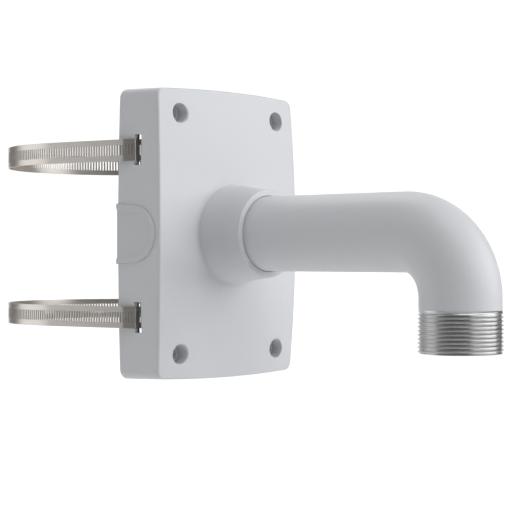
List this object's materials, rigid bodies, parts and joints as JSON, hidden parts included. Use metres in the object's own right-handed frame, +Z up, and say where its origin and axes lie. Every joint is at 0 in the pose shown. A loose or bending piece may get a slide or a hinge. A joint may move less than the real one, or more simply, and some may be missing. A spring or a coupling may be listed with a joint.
{
  "type": "camera pole mount bracket",
  "caption": "Box-backed pole mount bracket with a bent threaded pipe arm, held to a round pole by perforated steel straps with worm clamps.",
  "frame": {"origin": "on the pole's axis, level with the middle of the plate and of the two straps", "axes": "+Z up along the pole, -Y from the pole out along the arm, +X across the plate to the right as seen from in front"},
  "size_m": [0.1634, 0.386, 0.1848],
  "materials": {
    "housing_paint": "fine satin powder coat on an aluminium die casting, cool grey-white",
    "arm_paint": "fine satin powder coat on a bent tube, bare turned metal on the pipe thread",
    "flange_steel": "zinc plated steel ring, turned",
    "seal_rubber": "black EPDM sheet",
    "fixing_steel": "stainless steel pan head screws and washers",
    "cover_plastic": "moulded UV-stable plastic in the housing's grey-white, fine texture",
    "earth_brass": "brass, turned",
    "strap_steel": "rolled stainless steel band, bright, warm grey",
    "clamp_steel": "pressed stainless steel",
    "worm_steel": "cold-headed steel screw, plated"
  },
  "bodies": {
    "bracket": {"housing": "housing_paint", "arm_tube": "arm_paint", "arm_flange": "flange_steel", "flange_gasket": "seal_rubber", "arm_seal_ring": "seal_rubber", "flange_screws": "fixing_steel", "flange_washers": "fixing_steel", "entry_cover_left": "cover_plastic", "entry_cover_right": "cover_plastic", "ground_screw": "earth_brass", "ground_washer": "fixing_steel", "strap_upper": "strap_steel", "strap_lower": "strap_steel", "clamp_housing_upper": "clamp_steel", "clamp_housing_lower": "clamp_steel", "clamp_saddle_upper": "clamp_steel", "clamp_saddle_lower": "clamp_steel"},
    "upper_screw": {"worm_screw_upper": "worm_steel"},
    "lower_screw": {"worm_screw_lower": "worm_steel"}
  },
  "joints": [
    {"name": "upper_screw_turn", "type": "hinge", "parent": "bracket", "child": "upper_screw", "pos_m": [0.07622, 0.03554, 0.0523], "axis": [0.4226, -0.9063, 0], "continuous": true},
    {"name": "lower_screw_turn", "type": "hinge", "parent": "bracket", "child": "lower_screw", "pos_m": [0.07622, 0.03554, -0.0523], "axis": [0.4226, -0.9063, 0], "continuous": true}
  ]
}
